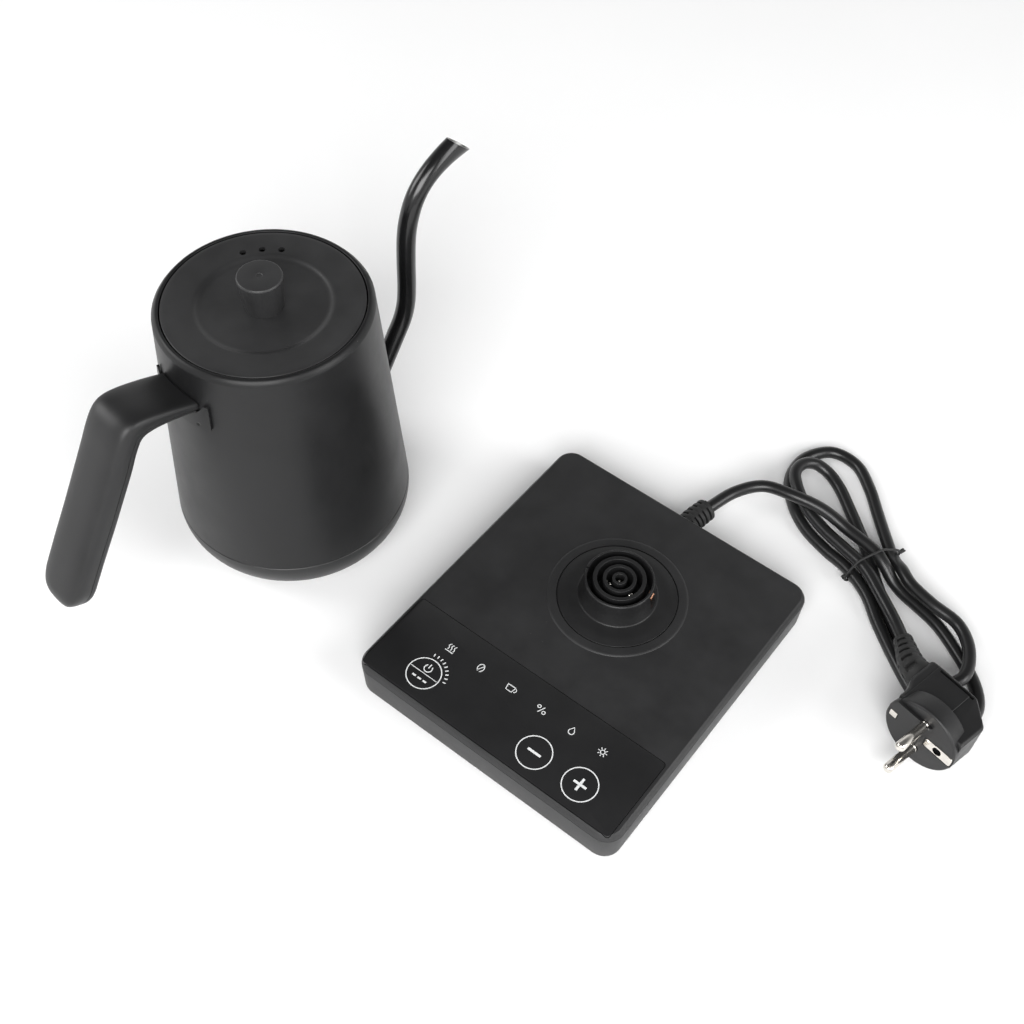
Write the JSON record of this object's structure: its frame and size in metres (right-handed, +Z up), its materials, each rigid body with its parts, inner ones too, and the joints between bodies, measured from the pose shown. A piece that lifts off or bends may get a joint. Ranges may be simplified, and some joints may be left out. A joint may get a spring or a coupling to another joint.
{
  "type": "electric gooseneck kettle",
  "caption": "Electric gooseneck kettle with a tapered body, flat lid and angled handle, standing beside its square power base with touch panel, cord and plug.",
  "frame": {"origin": "on the surface that the kettle and the base stand on, under the middle of the two, with the cord set left out", "axes": "+X from the kettle towards the base, +Y towards the side of the base that the cord leaves, +Z up; the touch panel's edge faces -Y"},
  "size_m": [0.3877, 0.3349, 0.1685],
  "materials": {
    "body_paint": "satin black baked paint over stainless steel",
    "lid_paint": "satin black paint, smoother than the body",
    "spout_paint": "glossy black paint outside, bare steel inside",
    "black_plastic": "moulded heat-resistant plastic, fine matte texture",
    "base_plastic": "charcoal moulded plastic, fine matte texture",
    "panel_gloss": "smooth dark panel with pale printed marks",
    "rubber": "matte black rubber",
    "cord_vinyl": "smooth black vinyl with a soft sheen",
    "silicone": "translucent grey silicone",
    "steel": "bare stainless steel",
    "aluminium": "bare cast and drawn aluminium",
    "nickel": "polished nickel plate",
    "brass": "brass and copper-coloured windings",
    "copper": "bare spring copper",
    "board_green": "green circuit board"
  },
  "bodies": {
    "base": {"connector_boss": "black_plastic", "relay": "black_plastic", "buzzer": "black_plastic", "plug_body": "black_plastic", "base_top_cover": "base_plastic", "base_lower_housing": "base_plastic", "touch_panel": "panel_gloss", "rubber_foot_1": "rubber", "rubber_foot_2": "rubber", "rubber_foot_3": "rubber", "rubber_foot_4": "rubber", "base_strain_relief": "rubber", "plug_strain_relief": "rubber", "cord_tie": "rubber", "power_cord": "cord_vinyl", "base_screw_1": "steel", "base_screw_2": "steel", "base_screw_3": "steel", "base_screw_4": "steel", "filter_capacitor": "aluminium", "contact_strip_outer": "nickel", "contact_strip_inner": "nickel", "contact_pin": "nickel", "plug_pin_1": "nickel", "plug_pin_2": "nickel", "plug_earth_clip_1": "nickel", "plug_earth_clip_2": "nickel", "transformer": "brass", "control_board": "board_green", "touch_board": "board_green"},
    "kettle": {"kettle_body": "body_paint", "bottom_cover": "black_plastic", "bottom_screw_1": "steel", "bottom_screw_2": "steel", "bottom_screw_3": "steel", "heater_plate": "steel", "heat_spreader": "aluminium", "heating_element": "aluminium", "thermal_cutout": "black_plastic", "temperature_sensor": "steel", "sensor_seal": "silicone", "socket_housing": "black_plastic", "socket_earth_ring": "steel", "socket_ring_outer": "brass", "socket_ring_inner": "brass", "socket_pin": "brass", "spout": "spout_paint", "handle_shell": "black_plastic", "handle_inner_cover": "black_plastic", "handle_bracket": "body_paint", "handle_screw_1": "steel", "handle_screw_2": "steel"},
    "lid": {"lid_cover": "lid_paint", "lid_knob": "lid_paint", "knob_screw": "steel", "lid_inner_plate": "steel", "lid_seal": "silicone"},
    "earth_contact": {"earth_contact": "copper"}
  },
  "joints": [
    {"name": "kettle_lift", "type": "slide", "parent": "base", "child": "kettle", "axis": [0, 0, 1], "range_m": [0, 0.12]},
    {"name": "lid_lift", "type": "slide", "parent": "kettle", "child": "lid", "axis": [0, 0, 1], "range_m": [0, 0.06]},
    {"name": "earth_press", "type": "slide", "parent": "base", "child": "earth_contact", "axis": [-0.9781, -0.2079, 0], "range_m": [0, 0.0008], "stiffness_N_per_m": 300}
  ]
}
